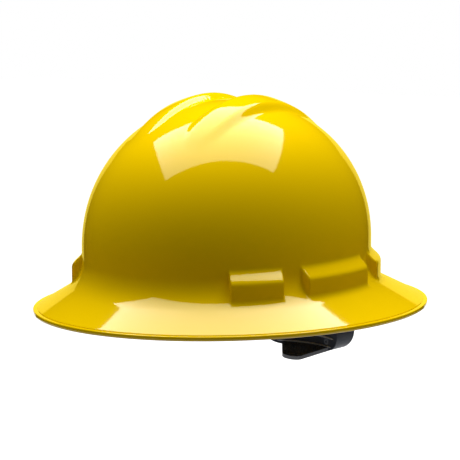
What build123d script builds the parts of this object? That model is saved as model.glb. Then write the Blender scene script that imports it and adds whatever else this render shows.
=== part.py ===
from build123d import *
import math
import os

os.makedirs("parts", exist_ok=True)

# All lengths are in millimetres and all angles in degrees.
# X points to the wearer's left, Y to the back of the head and Z up.
# The origin is where the dome's upright axis meets the plane that the brim's lower edge lies in.

# Dome: an egg-shaped plan, raised to a rounded crown.
dome_half_width = 97.6
dome_half_length = 115.7
dome_plan_power = 2.14
dome_rise_power = 2.07
dome_widest_height = 48.0
dome_rise = 106.1
dome_lean = 1.7
shell_wall = 2.6

# Brim: an oval rim, set a little towards the back.
brim_half_width = 138.0
brim_half_length = 160.0
brim_setback = 5.7
brim_root_height = 22.0
brim_blend = 13.0
brim_wall = 3.0
rim_height = 3.2
rim_width = 3.2
rim_step = 0.5
rim_edge_round = 0.7

# Crown: two long ridges, highest in the middle of their length, with a trough between them.
ridge_far_side = 37.0
ridge_half_length = 78.0
ridge_rise = 5.7
ridge_edge_blend = 6.6
ridge_corner_power = 6.0
ridge_arch_power = 1.75
trough_half_width = 12.7
trough_flare = 8.0
trough_flare_power = 8.0
trough_side = 7.0
inner_ridge_shift_share = 0.55

# Loft sections of the shell.
section_points = 120
brim_sections = 7
dome_sections = 46
crown_cap_share = 0.022
section_bunching = 1.4

# Sockets: six hollow bosses around the foot of the dome.
boss_depth = 7.5
boss_top_height = 34.5
boss_slope_height = 7.0
boss_root_drop = 8.0
narrow_boss_width = 39.0
wide_boss_width = 72.0
front_key_angle = 49.0
side_key_angle = 90.0
boss_side_wall = 2.6
boss_roof = 2.6
pocket_inset = 0.4
pocket_depth = 4.5

# Keys: hooks that hang the suspension in the sockets.
narrow_key_width = 31.0
wide_key_width = 52.0
key_blade_thickness = 3.0
key_blade_gap = 0.7
key_head_gap = 1.6
key_barb_height = 0.4
key_barb_length = 2.0
key_barb_drop = 5.0
key_web_bottom = 11.6
key_web_thickness = 2.6
key_plate_inset = 8.0
key_plate_thickness = 2.5
key_plate_top = 34.5
key_bar_height = 3.0
key_window_height = 7.5
key_post_width = 2.8
hanger_height = 19.0
hanger_width = 7.0
hanger_thickness = 4.0
hanger_gap = 1.0
stud_radius = 2.2
stud_gap = 0.2
stud_head_radius = 3.6
stud_head_thickness = 1.2
stud_head_gap = 1.0

# Crown webbing.
webbing_width = 19.0
webbing_thickness = 1.2
webbing_loop_radius = 2.2
webbing_top_height = 118.0
webbing_layer_step = 2.1

# Headband: two straight sides and a round front.
band_half_width = 78.0
band_front_centre = -30.0
band_front_reach = 70.0
band_thickness = 2.0
band_bottom = -6.0
band_top = 24.0
band_end = 38.0
band_vent_length = 15.0
band_vent_height = 5.0
band_vent_level = 10.0
band_side_vent_start = -32.0
band_side_vent_pitch = 21.0
band_side_vent_count = 2

# Brow pad inside the front of the headband.
brow_pad_thickness = 5.0
brow_pad_bottom = -8.0
brow_pad_top = 25.5
brow_pad_half_angle = 44.0
brow_pad_round = 1.8

# Side sliders and pivots of the nape unit.
pivot_along = 15.0
pivot_height = 2.0
pivot_radius = 3.0
pivot_gap = 0.06
pivot_cap_radius = 5.6
pivot_cap_thickness = 1.6
pivot_cap_gap = 0.3
slider_neck = 6.0
slider_gap = 0.15
slider_plate_length = 16.0
slider_plate_height = 13.0
slider_plate_thickness = 2.0
slider_plate_gap = 0.15

# Nape arms.
arm_thickness = 2.2
arm_gap = 0.5
arm_height = 18.0
arm_end_radius = 9.6
arm_straight_end = 50.0
arm_rear_reach = 48.0
arm_drop_at_end = 19.0
arm_root_x = 27.0

# Ratchet housing, on the knob's axis.
knob_height = -29.0
housing_half_width = 37.0
housing_top = -8.0
housing_bottom = -46.0
housing_corner = 15.0
housing_face_radius = 60.0
housing_face_back = 101.0
housing_skin = 2.5
housing_split = 104.0
housing_back = 113.0
housing_back_round = 2.2
guide_half_width = 17.0
guide_thickness = 2.4
screw_offset = 20.0
screw_inset = 6.1
screw_sink = 2.2
screw_radius = 1.3
screw_head_radius = 2.4
screw_head_height = 1.6
screw_length = 8.0
screw_gap = 0.05
screw_post_radius = 3.4

# Rack and pinion.
tooth_module = 1.0
pinion_teeth = 10
addendum_share = 0.8
dedendum_share = 1.1
tooth_half_angle = 20.0
rack_addendum_share = 0.55
tooth_play = 0.12
flank_steps = 4
rack_thickness = 2.4
rack_back_height = 3.0
rack_inner_reach = 12.5
rack_outer_reach = 22.0
rack_gap = 0.3
rack_travel = 10.5
shaft_radius = 3.0
shaft_gap = 0.08
shaft_square = 4.0
shaft_square_gap = 0.06
front_stub_radius = 2.4
front_stub_length = 2.2

# Detent.
detent_recess_radius = 12.0
detent_notch_depth = 0.9
detent_notches = 24
detent_recess_depth = 3.2
pawl_thickness = 2.0
pawl_hub_radius = 5.0
pawl_arm_width = 1.3
pawl_arm_radius = 9.6
pawl_spoke_width = 2.0
pawl_tip_gap = 0.25
pawl_face_gap = 0.4

# Knob.
knob_radius = 20.5
knob_gap = 0.5
knob_depth = 17.0
knob_neck_radius = 17.0
knob_neck_depth = 4.5
knob_wall = 2.4
knob_groove_radius = 1.3
knob_groove_rise = 0.5
knob_grooves = 30
knob_dish_radius = 12.5
knob_dish_depth = 3.0
knob_round = 1.4
knob_hub_radius = 6.5
knob_hub_depth = 6.5
knob_screw_radius = 1.2
knob_screw_web = 2.0
knob_screw_head_radius = 2.8
knob_screw_head_height = 1.8
knob_screw_length = 7.0
knob_cap_radius = 4.2
knob_cap_thickness = 1.0
knob_cap_gap = 0.1

# Nape scoop under the housing.
scoop_thickness = 2.8
scoop_reach = 22.0
scoop_fall = 7.5
scoop_root_half_width = 27.0
scoop_root_rise = 1.2
scoop_tip_half_width = 9.0
scoop_tip_rise = 1.0
scoop_tip_round = 5.0
scoop_lap = 1.6


def direction(angle):
    # Unit vector in the plan: 0 points to the front and 90 to the wearer's left.
    return Vector(math.sin(math.radians(angle)), -math.cos(math.radians(angle)), 0)


def plan_radius(angle, grow=0.0):
    d = direction(angle)
    across = abs(d.X / (dome_half_width + grow)) ** dome_plan_power
    along = abs(d.Y / (dome_half_length + grow)) ** dome_plan_power
    return (across + along) ** (-1.0 / dome_plan_power)


def brim_radius(angle, inset):
    # Distance from the dome's axis to the rim oval, brought in by inset.
    d = direction(angle)
    wide = brim_half_width - inset
    long = brim_half_length - inset
    a = (d.X / wide) ** 2 + (d.Y / long) ** 2
    b = -2.0 * d.Y * brim_setback / long**2
    c = (brim_setback / long) ** 2 - 1.0
    return (-b + math.sqrt(b * b - 4.0 * a * c)) / (2.0 * a)


def smooth(value):
    t = min(max(value, 0.0), 1.0)
    return t * t * (3.0 - 2.0 * t)


def crown_relief(x, y, shift):
    # Height of the ridges above the plain dome at a point of the plan, their sides moved in by shift.
    along = min(abs(y) / ridge_half_length, 1.0)
    side = ridge_far_side - shift
    across = abs(x) / side
    reach = (across**ridge_corner_power + along**ridge_corner_power) ** (1.0 / ridge_corner_power)
    plateau = smooth((1.0 - reach) * side / ridge_edge_blend + 0.5)
    arch = 1.0 - along**ridge_arch_power
    foot = trough_half_width + shift + trough_flare * along**trough_flare_power
    short = 1.0 - min(max((abs(x) - foot) / trough_side, 0.0), 1.0)
    return ridge_rise * plateau * arch * (1.0 - short**2)


def dome_point(angle, lift, grow):
    # lift runs from 0 at the widest level to 1 at the crown.
    turn = lift * math.pi / 2
    spread = math.cos(turn) ** (2.0 / dome_rise_power)
    climb = math.sin(turn) ** (2.0 / dome_rise_power)
    r = plan_radius(angle, grow) * spread
    d = direction(angle)
    x = d.X * r
    y = d.Y * r + dome_lean * climb
    z = dome_widest_height + (dome_rise + grow) * climb
    fade = smooth((z - dome_widest_height) / (dome_rise / 4))
    relief = crown_relief(x, y, -grow * inner_ridge_shift_share)
    return Vector(x, y, z + relief * fade * climb)


def brim_point(angle, share, grow, inset, drop):
    # share runs from 0 at the rim to 1 on the upright wall above the brim's root.
    outer = brim_radius(angle, rim_width)
    foot = plan_radius(angle, 0.0)
    slope = (brim_root_height - rim_height - rim_step) / (outer - foot)
    start = outer - foot - brim_blend
    low = rim_height + rim_step + slope * start
    s = share * (start + 2.0 * brim_blend)
    if s <= start:
        r = outer - s
        z = rim_height + rim_step + slope * s
    else:
        # A quadratic curve turns from the brim's slope into the upright wall.
        t = (s - start) / (2.0 * brim_blend)
        r = foot + brim_blend * (1.0 - t) ** 2
        z = low + brim_blend * (2.0 * t * (1.0 - t) * slope + t * t * (slope + 1.0))
    r = r - (foot - plan_radius(angle, grow)) * smooth(share)
    r = min(r, brim_radius(angle, inset + share))
    d = direction(angle)
    return Vector(d.X * r, d.Y * r, z - drop)


def closed_section(make_point):
    points = [make_point(360.0 * i / section_points) for i in range(section_points)]
    shares = [i / section_points for i in range(section_points + 1)]
    return Wire([Edge.make_spline(points, periodic=True, parameters=shares)])


def flat_section(grow, height):
    # The dome's plan, grown outwards, at one height.
    return closed_section(
        lambda angle: direction(angle) * plan_radius(angle, grow) + Vector(0, 0, height)
    )


def skin_body(grow, inset, drop, floor):
    # The space under one skin of the shell, from a flat floor up to the crown.
    wires = [closed_section(lambda a: direction(a) * brim_radius(a, inset) + Vector(0, 0, floor))]
    for i in range(brim_sections + 1):
        share = i / brim_sections
        wires.append(closed_section(lambda a: brim_point(a, share, grow, inset, drop)))
    for i in range(dome_sections + 1):
        # The sections come closer together towards the crown, where the ridges are.
        along = 1.0 - (1.0 - i / dome_sections) ** section_bunching
        lift = (1.0 - crown_cap_share) * along
        wires.append(closed_section(lambda a: dome_point(a, lift, grow)))
    return Solid.make_loft(wires)


def disc(grow, low, high):
    return extrude(Face(flat_section(grow, low)), high - low, dir=(0, 0, 1))


def front_box(width, near, far, low, high):
    # A box across the front, from distance near to distance far ahead of the axis.
    block = Box(width, far - near, high - low, align=(Align.CENTER, Align.MAX, Align.MIN))
    return Pos(0, -near, low) * block


def turned(shape, angle):
    return Rot(0, 0, angle) * shape


def wall_block(angle, width, inner, outer, low, high):
    # A block that follows the dome's wall; inner and outer are measured outwards from it.
    ring = disc(outer, low, high) - disc(inner, low, high)
    reach = plan_radius(angle)
    return ring & turned(front_box(width, reach / 2, 2 * reach, low - reach, high + reach), angle)


def y_cylinder(radius, front, back, x=0.0, z=0.0):
    # A cylinder that lies along Y.
    rod = Cylinder(radius, back - front, rotation=(90, 0, 0))
    return Pos(x, (front + back) / 2, z) * rod


def x_cylinder(radius, low, high, y=0.0, z=0.0):
    # A cylinder that lies along X.
    rod = Cylinder(radius, high - low, rotation=(0, 90, 0))
    return Pos((low + high) / 2, y, z) * rod


def span_box(low_x, high_x, low_y, high_y, low_z, high_z):
    block = Box(high_x - low_x, high_y - low_y, high_z - low_z)
    return Pos((low_x + high_x) / 2, (low_y + high_y) / 2, (low_z + high_z) / 2) * block


def mirrored(shape):
    return mirror(shape, Plane.YZ)


sockets = {
    "front_left": (front_key_angle, narrow_boss_width, narrow_key_width),
    "side_left": (side_key_angle, wide_boss_width, wide_key_width),
    "rear_left": (180.0 - front_key_angle, narrow_boss_width, narrow_key_width),
}

parts = {}

# Shell: dome and brim with a rim bead and six bosses, hollowed from below.

rim_ring = Ellipse(brim_half_width, brim_half_length)
rim_ring -= Ellipse(brim_half_width - 2 * rim_width, brim_half_length - 2 * rim_width)
bead = extrude(Pos(0, brim_setback) * rim_ring, rim_height)
rim_edges = bead.edges().filter_by(GeomType.ELLIPSE).sort_by(SortBy.LENGTH)
bead = fillet(rim_edges[-2:], rim_edge_round)

boss_foot = brim_root_height - boss_root_drop
boss_sections = [
    flat_section(boss_depth, boss_foot),
    flat_section(boss_depth, boss_top_height),
    flat_section(0.0, boss_top_height + boss_slope_height),
]
boss_ring = Solid.make_loft(boss_sections, ruled=True)
bosses = []
pockets = []
for angle, boss_width, key_width in sockets.values():
    reach = plan_radius(angle)
    trim = front_box(boss_width, reach / 2, 2 * reach, -reach, reach)
    boss = boss_ring & turned(trim, angle)
    pocket = wall_block(
        angle,
        boss_width - 2 * boss_side_wall,
        pocket_inset,
        pocket_inset + pocket_depth,
        0.0,
        boss_top_height - boss_roof,
    )
    bosses += [boss, mirrored(boss)]
    pockets += [pocket, mirrored(pocket)]

shell = skin_body(0.0, rim_width, 0.0, 0.0) + bead
for boss in bosses:
    shell += boss
shell -= skin_body(-shell_wall, rim_width + rim_step, brim_wall, -rim_height)
for pocket in pockets:
    shell -= pocket
parts["shell"] = shell

# Keys: a blade up into the socket, a web under the wall and a plate inside it.

web_top = key_web_bottom + key_web_thickness
blade_top = boss_top_height - boss_roof - key_head_gap
plate_outer = -key_plate_inset
plate_inner = plate_outer - key_plate_thickness
bar_bottom = key_plate_top - key_bar_height
bar_centre = plate_outer - key_plate_thickness / 2
blade_inner = pocket_inset + key_blade_gap
blade_outer = blade_inner + key_blade_thickness


def headband_reach(angle, inset):
    # Distance from the axis to the headband's outer face, brought in by inset.
    d = direction(angle)
    wide = band_half_width - inset
    deep = band_front_reach - inset
    if abs(d.Y) * wide <= abs(d.X * band_front_centre):
        return wide / abs(d.X)
    a = (d.X / wide) ** 2 + (d.Y / deep) ** 2
    b = -2.0 * d.Y * band_front_centre / deep**2
    c = (band_front_centre / deep) ** 2 - 1.0
    return (-b + math.sqrt(b * b - 4.0 * a * c)) / (2.0 * a)


def make_key(angle, width):
    blade = wall_block(angle, width, blade_inner, blade_outer, key_web_bottom, blade_top)
    barb_top = blade_top - key_barb_drop
    barb_low = barb_top - key_barb_length
    barb = wall_block(
        angle, width / 2, blade_inner, blade_outer + key_barb_height, barb_low, barb_top
    )
    reach = plan_radius(angle)
    web = turned(front_box(width, reach + plate_inner, 2 * reach, -reach, reach), angle)
    web = disc(blade_outer, key_web_bottom, web_top) & web
    plate = front_box(
        width, reach + plate_inner, reach + plate_outer, key_web_bottom, key_plate_top
    )
    opening = width - 2 * key_post_width
    plate -= front_box(
        opening, reach / 2, reach, bar_bottom - key_window_height, bar_bottom
    )
    return blade + barb + web + turned(plate, angle)


def add_hanger(key, angle):
    reach = plan_radius(angle)
    band_outer = headband_reach(angle, 0.0)
    band_inner = headband_reach(angle, band_thickness)
    low = hanger_height - hanger_thickness / 2
    arm = front_box(
        hanger_width,
        band_outer + hanger_gap,
        reach + plate_inner + key_plate_thickness / 2,
        low,
        low + hanger_thickness,
    )
    head_far = band_inner - stud_head_gap
    stud = y_cylinder(stud_radius, -band_outer - hanger_thickness / 2, -head_far, z=hanger_height)
    head = y_cylinder(
        stud_head_radius, -head_far, stud_head_thickness - head_far, z=hanger_height
    )
    return key + turned(arm + stud + head, angle)


for place, (angle, boss_width, key_width) in sockets.items():
    key = make_key(angle, key_width)
    if place != "rear_left":
        key = add_hanger(key, angle)
    parts["key_" + place] = key
    parts["key_" + place.replace("left", "right")] = mirrored(key)

# Crown webbing: three straps, each sewn round the bars of two opposite keys.

bar_level = bar_bottom + key_bar_height / 2


def make_strap(angle, layer):
    bar = plan_radius(angle) + bar_centre
    middle = bar - webbing_loop_radius - webbing_thickness / 2
    top = webbing_top_height + layer * webbing_layer_step - bar_level
    half = webbing_thickness / 2
    arch = Ellipse(middle + half, top + half) - Ellipse(middle - half, top - half)
    arch &= Pos(0, top) * Rectangle(4 * middle, 2 * top)
    ring = Circle(webbing_loop_radius + webbing_thickness) - Circle(webbing_loop_radius)
    outline = arch + Pos(bar, 0) * ring + Pos(-bar, 0) * ring
    strap = extrude(Plane.YZ * outline, webbing_width / 2, both=True)
    return turned(Pos(0, 0, bar_level) * strap, angle)


parts["crown_strap_front_left"] = make_strap(front_key_angle, 0)
parts["crown_strap_side"] = make_strap(side_key_angle, 1)
parts["crown_strap_front_right"] = make_strap(-front_key_angle, 2)

# Headband: a moulded strip round the front and sides, open at the back.


def front_plan(inset, end):
    # The headband's plan, brought in by inset, closed across at the line Y = end.
    arc = Ellipse(band_half_width - inset, band_front_reach - inset)
    arc &= Pos(0, -band_front_reach) * Rectangle(4 * band_half_width, 2 * band_front_reach)
    length = end - band_front_centre
    sides = Pos(0, length / 2) * Rectangle(2 * (band_half_width - inset), length)
    return Pos(0, band_front_centre) * (arc + sides)


band = extrude(
    front_plan(0.0, band_end) - front_plan(band_thickness, band_end + band_thickness),
    band_top - band_bottom,
)
band = Pos(0, 0, band_bottom) * band
slot_low = pivot_along - rack_travel - slider_neck / 2 - slider_gap
slot_high = pivot_along + rack_travel + slider_neck / 2 + slider_gap
slot_half = slider_neck / 2 + slider_gap
band -= span_box(
    -2 * band_half_width,
    2 * band_half_width,
    slot_low,
    slot_high,
    pivot_height - slot_half,
    pivot_height + slot_half,
)
for angle in (front_key_angle, side_key_angle, -front_key_angle, -side_key_angle):
    hole = y_cylinder(
        stud_radius + stud_gap, -plan_radius(angle), -band_half_width / 2, z=hanger_height
    )
    band -= turned(hole, angle)
for i in range(band_side_vent_count):
    start = band_side_vent_start + i * band_side_vent_pitch
    band -= span_box(
        -2 * band_half_width,
        2 * band_half_width,
        start,
        start + band_vent_length,
        band_vent_level - band_vent_height / 2,
        band_vent_level + band_vent_height / 2,
    )
parts["headband"] = band

# Brow pad: a soft strip on the inner face of the headband's front.

pad_wedge = Polygon(
    (0, 0),
    (math.tan(math.radians(brow_pad_half_angle)) * 2 * band_half_width, -2 * band_half_width),
    (-math.tan(math.radians(brow_pad_half_angle)) * 2 * band_half_width, -2 * band_half_width),
    align=None,
)
pad_plan = front_plan(band_thickness, 0.0) - front_plan(
    band_thickness + brow_pad_thickness, band_thickness
)
brow_pad = extrude(pad_plan & pad_wedge, brow_pad_top - brow_pad_bottom)
brow_pad = Pos(0, 0, brow_pad_bottom) * brow_pad
brow_pad = fillet(brow_pad.edges().filter_by(Axis.Z), brow_pad_round)
parts["brow_pad"] = brow_pad

# Side sliders: a plate inside the headband, a neck in its slot and a pivot outside it.

arm_inner = band_half_width + arm_gap
arm_outer = arm_inner + arm_thickness
plate_face = band_half_width - band_thickness - slider_plate_gap
cap_inner = arm_outer + pivot_cap_gap
slider = span_box(
    plate_face - slider_plate_thickness,
    plate_face,
    pivot_along - slider_plate_length / 2,
    pivot_along + slider_plate_length / 2,
    pivot_height - slider_plate_height / 2,
    pivot_height + slider_plate_height / 2,
)
slider = fillet(slider.edges().filter_by(Axis.X), pivot_radius)
slider += span_box(
    plate_face,
    band_half_width + arm_gap / 2,
    pivot_along - slider_neck / 2,
    pivot_along + slider_neck / 2,
    pivot_height - slider_neck / 2,
    pivot_height + slider_neck / 2,
)
slider += x_cylinder(
    pivot_radius, plate_face, cap_inner + pivot_cap_thickness / 2, pivot_along, pivot_height
)
cap = x_cylinder(
    pivot_cap_radius, cap_inner, cap_inner + pivot_cap_thickness, pivot_along, pivot_height
)
cap = fillet(cap.edges().sort_by(Axis.X)[-1], pivot_cap_thickness / 2)
cap -= slider
parts["slider_left"] = slider
parts["slider_right"] = mirrored(slider)
parts["pivot_cap_left"] = cap
parts["pivot_cap_right"] = mirrored(cap)

# Nape arms: straight along the headband, then round to the ratchet at the back.

arc_width = arm_outer
arc_reach = arm_rear_reach + arm_thickness
arm_plan = Ellipse(arc_width, arc_reach) - Ellipse(arc_width - arm_thickness, arm_rear_reach)
arm_plan &= Pos(arm_root_x + arc_width, arc_reach) * Rectangle(2 * arc_width, 2 * arc_reach)
straight = arm_straight_end - pivot_along + arm_end_radius
arm_plan += Pos(arm_inner + arm_thickness / 2, -straight / 2) * Rectangle(
    arm_thickness, straight
)
arm = extrude(Pos(0, arm_straight_end) * arm_plan, dome_widest_height, both=True)
arm_back = arm_straight_end + arc_reach
side_view = Polygon(
    (pivot_along, pivot_height - arm_height / 2),
    (arm_back, pivot_height - arm_drop_at_end - arm_height / 2),
    (arm_back, pivot_height - arm_drop_at_end + arm_height / 2),
    (pivot_along, pivot_height + arm_height / 2),
    align=None,
)
side_view += Pos(pivot_along, pivot_height) * Circle(arm_end_radius)
arm &= extrude(Plane.YZ * side_view, 2 * band_half_width, both=True)
arm -= x_cylinder(
    pivot_radius + pivot_gap, 0.0, 2 * band_half_width, pivot_along, pivot_height
)
parts["nape_arm_left"] = arm
parts["nape_arm_right"] = mirrored(arm)

# Ratchet housing: a curved face towards the head and a flat back that carries the knob.

housing_middle = (housing_top + housing_bottom) / 2
housing_size = housing_top - housing_bottom


def housing_outline(inset):
    shape = RectangleRounded(
        2 * (housing_half_width - inset), housing_size - 2 * inset, housing_corner - inset
    )
    return Plane.XZ * (Pos(0, housing_middle) * shape)


def housing_slab(inset, front, back):
    return Pos(0, back, 0) * extrude(housing_outline(inset), back - front)


def head_cylinder(grow):
    rod = Cylinder(housing_face_radius + grow, 4 * housing_size)
    return Pos(0, housing_face_back - housing_face_radius, 0) * rod


front_depth = housing_face_radius / 2
front_half = housing_slab(0.0, housing_face_back - front_depth, housing_split)
front_half -= head_cylinder(0.0)
hollow = housing_slab(
    housing_skin, housing_face_back - front_depth, housing_split + housing_skin
)
front_half -= hollow - head_cylinder(housing_skin)
guide_half_height = (0.5 * pinion_teeth + dedendum_share) * tooth_module + rack_back_height
guide = span_box(
    -guide_half_width,
    guide_half_width,
    housing_split - guide_thickness,
    housing_split,
    knob_height - guide_half_height,
    knob_height + guide_half_height,
)
front_half += guide
screw_spots = []
for x in (-screw_offset, screw_offset):
    for z in (housing_top - screw_inset, housing_bottom + screw_inset):
        screw_spots.append((x, z))
screw_seat = housing_face_back - housing_face_radius
screw_seat += math.sqrt(housing_face_radius**2 - screw_offset**2) + screw_sink
screw_face = screw_seat - screw_head_height
for x, z in screw_spots:
    post = y_cylinder(screw_post_radius, screw_face - screw_sink, housing_split, x, z)
    front_half += post - head_cylinder(0.0)
back_half = housing_slab(0.0, housing_split, housing_back)
rear_edges = back_half.edges().group_by(Axis.Y)[-1]
back_half = fillet(rear_edges, housing_back_round)
channel_back = housing_split + 2 * rack_gap + rack_thickness
channel_half_height = guide_half_height + rack_gap
back_half -= span_box(
    -housing_half_width + housing_skin,
    housing_half_width - housing_skin,
    housing_split,
    channel_back,
    knob_height - channel_half_height,
    knob_height + channel_half_height,
)
back_half -= y_cylinder(shaft_radius + shaft_gap, housing_split, housing_back, z=knob_height)
recess_floor = housing_back - detent_recess_depth
notched = Circle(detent_recess_radius)
for i in range(detent_notches):
    notch = Rot(0, 0, 45) * Rectangle(
        detent_notch_depth * math.sqrt(2), detent_notch_depth * math.sqrt(2)
    )
    notched += Rot(0, 0, 360.0 * i / detent_notches) * (Pos(detent_recess_radius, 0) * notch)
recess = extrude(Plane.XZ * notched, detent_recess_depth)
back_half -= Pos(0, housing_back, knob_height) * recess
stub_hole = y_cylinder(
    front_stub_radius + shaft_gap,
    housing_split - front_stub_length,
    housing_split,
    z=knob_height,
)
front_half -= stub_hole
front_half -= arm
front_half -= mirrored(arm)
for i, (x, z) in enumerate(screw_spots):
    bore = y_cylinder(screw_radius + screw_gap, screw_face, screw_seat + screw_length, x, z)
    head_bore = y_cylinder(
        screw_head_radius + screw_gap, screw_face - housing_skin, screw_seat, x, z
    )
    front_half -= bore + head_bore
    back_half -= bore
    screw = y_cylinder(screw_head_radius, screw_face, screw_seat, x, z)
    screw += y_cylinder(screw_radius, screw_seat, screw_seat + screw_length, x, z)
    screw -= y_cylinder(screw_radius, screw_face, screw_face + screw_head_height / 2, x, z)
    parts["housing_screw_" + str(i + 1)] = screw

# Nape scoop: a dished tongue, narrow at its tip, that cups the back of the head.


def scoop_section(half_width, back, low, rise):
    # A thin strip across the head, its ends higher than its middle.
    left = Vector(-half_width, back, low + rise)
    middle = Vector(0, back, low)
    right = Vector(half_width, back, low + rise)
    lift = Vector(0, 0, scoop_thickness)
    under = Edge.make_three_point_arc(left, middle, right)
    over = Edge.make_three_point_arc(left + lift, middle + lift, right + lift)
    ends = [Edge.make_line(left, left + lift), Edge.make_line(right, right + lift)]
    return Wire([under, ends[1], over, ends[0]])


scoop_back = housing_face_back + scoop_lap
scoop_front = housing_face_back - scoop_reach
scoop = Solid.make_loft(
    [
        scoop_section(scoop_root_half_width, scoop_back, housing_bottom, scoop_root_rise),
        scoop_section(
            scoop_tip_half_width, scoop_front, housing_bottom - scoop_fall, scoop_tip_rise
        ),
    ],
    ruled=True,
)
tip_corners = scoop.edges().filter_by(Axis.Z).group_by(Axis.Y)[0]
scoop = fillet(tip_corners, scoop_tip_round)
scoop -= back_half
front_half -= scoop
parts["nape_scoop"] = scoop
parts["housing_front"] = front_half
parts["housing_back"] = back_half

# Pinion and racks.

pitch_radius = tooth_module * pinion_teeth / 2
root_radius = pitch_radius - dedendum_share * tooth_module
tip_radius = pitch_radius + addendum_share * tooth_module
rack_front = housing_split + rack_gap


def involute(angle):
    return math.tan(angle) - angle


def make_pinion():
    pressure = math.radians(tooth_half_angle)
    base = pitch_radius * math.cos(pressure)
    half_pitch = math.pi / (2 * pinion_teeth) - tooth_play / (2 * pitch_radius)
    flank = [(root_radius / 2, half_pitch + involute(pressure))]
    for step in range(flank_steps + 1):
        r = base + (tip_radius - base) * step / flank_steps
        turn = half_pitch + involute(pressure) - involute(math.acos(base / r))
        flank.append((r, turn))
    outline = [(r * math.sin(turn), r * math.cos(turn)) for r, turn in flank]
    outline += [(-x, z) for x, z in reversed(outline)]
    tooth = Polygon(*outline, align=None)
    gear = Circle(root_radius)
    for i in range(pinion_teeth):
        gear += Rot(0, 0, 360.0 * i / pinion_teeth) * tooth
    return Pos(0, rack_front + rack_thickness, knob_height) * extrude(
        Plane.XZ * gear, rack_thickness
    )


def make_rack():
    # The rack above the pinion, teeth down, with a gap between teeth at X = 0.
    pitch = math.pi * tooth_module
    root = pitch_radius + dedendum_share * tooth_module
    tip = pitch_radius - rack_addendum_share * tooth_module
    lean = math.tan(math.radians(tooth_half_angle))
    half = pitch / 4 - tooth_play / 2
    length = rack_outer_reach + rack_inner_reach
    middle = (rack_outer_reach - rack_inner_reach) / 2
    bar = Pos(middle, root + rack_back_height / 2) * Rectangle(length, rack_back_height)
    first = math.ceil((-rack_inner_reach + pitch / 2) / pitch - 0.5)
    last = math.floor((rack_outer_reach - pitch / 2) / pitch - 0.5)
    for i in range(first, last + 1):
        x = (i + 0.5) * pitch
        low = half - (pitch_radius - tip) * lean
        high = half + (root - pitch_radius) * lean
        bar += Polygon((x - high, root), (x - low, tip), (x + low, tip), (x + high, root), align=None)
    return Pos(0, rack_front + rack_thickness, knob_height) * extrude(
        Plane.XZ * bar, rack_thickness
    )


knob_front = housing_back + knob_gap
hub_end = knob_front + knob_hub_depth
square_front = recess_floor + pawl_face_gap
pinion = make_pinion()
pinion += y_cylinder(
    front_stub_radius,
    housing_split - front_stub_length + rack_gap,
    rack_front,
    z=knob_height,
)
pinion += y_cylinder(shaft_radius, rack_front + rack_thickness, square_front, z=knob_height)
pinion += Pos(0, 0, knob_height) * span_box(
    -shaft_square / 2,
    shaft_square / 2,
    square_front,
    hub_end - shaft_gap,
    -shaft_square / 2,
    shaft_square / 2,
)
knob_screw_seat = hub_end + knob_screw_web
knob_screw_tip = knob_screw_seat - knob_screw_length
pinion -= y_cylinder(
    knob_screw_radius + screw_gap, knob_screw_tip - screw_gap, hub_end, z=knob_height
)
parts["pinion"] = pinion
rack = make_rack()
parts["rack_left"] = rack
flip = Pos(0, 0, knob_height) * Rot(0, 180, 0) * Pos(0, 0, -knob_height)
parts["rack_right"] = flip * rack

# Pawl: a disc on the square shaft with two spring arms that click in the notched recess.

square_hole = Rectangle(
    shaft_square + 2 * shaft_square_gap, shaft_square + 2 * shaft_square_gap
)
spring = Circle(pawl_arm_radius + pawl_arm_width / 2) - Circle(pawl_arm_radius - pawl_arm_width / 2)
spring &= Pos(0, pawl_arm_radius) * Rectangle(4 * pawl_arm_radius, 2 * pawl_arm_radius)
spring -= Pos(-pawl_arm_radius, 0) * Rectangle(2 * pawl_arm_radius, 2 * pawl_arm_width)
spring += Pos(0, (pawl_hub_radius + pawl_arm_radius) / 2) * Rectangle(
    pawl_spoke_width, pawl_arm_radius - pawl_hub_radius + pawl_arm_width
)
tip_reach = detent_recess_radius - pawl_tip_gap
spring += Pos((pawl_arm_radius + tip_reach) / 2, 0) * Rectangle(
    tip_reach - pawl_arm_radius, pawl_arm_width
)
pawl_plan = Circle(pawl_hub_radius) + spring + Rot(0, 0, 180) * spring - square_hole
pawl_back = square_front + pawl_thickness
parts["pawl"] = Pos(0, pawl_back, knob_height) * extrude(Plane.XZ * pawl_plan, pawl_thickness)

# Knob: a ribbed grip with a dished back, screwed to the pinion's square end.

knob_back = knob_front + knob_depth
grip = y_cylinder(knob_neck_radius, knob_front, knob_front + knob_neck_depth, z=knob_height)
rim = y_cylinder(knob_radius, knob_front + knob_neck_depth, knob_back, z=knob_height)
rim = fillet(rim.edges().filter_by(GeomType.CIRCLE), knob_round)
grip += rim
for i in range(knob_grooves):
    turn = math.radians(360.0 * i / knob_grooves)
    grip -= y_cylinder(
        knob_groove_radius,
        knob_front,
        knob_back,
        (knob_radius + knob_groove_rise) * math.cos(turn),
        knob_height + (knob_radius + knob_groove_rise) * math.sin(turn),
    )
dish_floor = knob_back - knob_dish_depth
grip -= y_cylinder(knob_dish_radius, dish_floor, knob_back, z=knob_height)
moat = y_cylinder(knob_neck_radius - knob_wall, knob_front, hub_end, z=knob_height)
moat -= y_cylinder(knob_hub_radius, knob_front, hub_end, z=knob_height)
grip -= moat
grip -= Pos(0, hub_end, knob_height) * extrude(Plane.XZ * square_hole, knob_hub_depth)
grip -= y_cylinder(knob_screw_radius + screw_gap, hub_end, knob_back, z=knob_height)
cap_seat = dish_floor - knob_cap_thickness
grip -= y_cylinder(knob_screw_head_radius + screw_gap, knob_screw_seat, knob_back, z=knob_height)
grip -= y_cylinder(knob_cap_radius + knob_cap_gap, cap_seat, knob_back, z=knob_height)
parts["knob"] = grip
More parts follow.
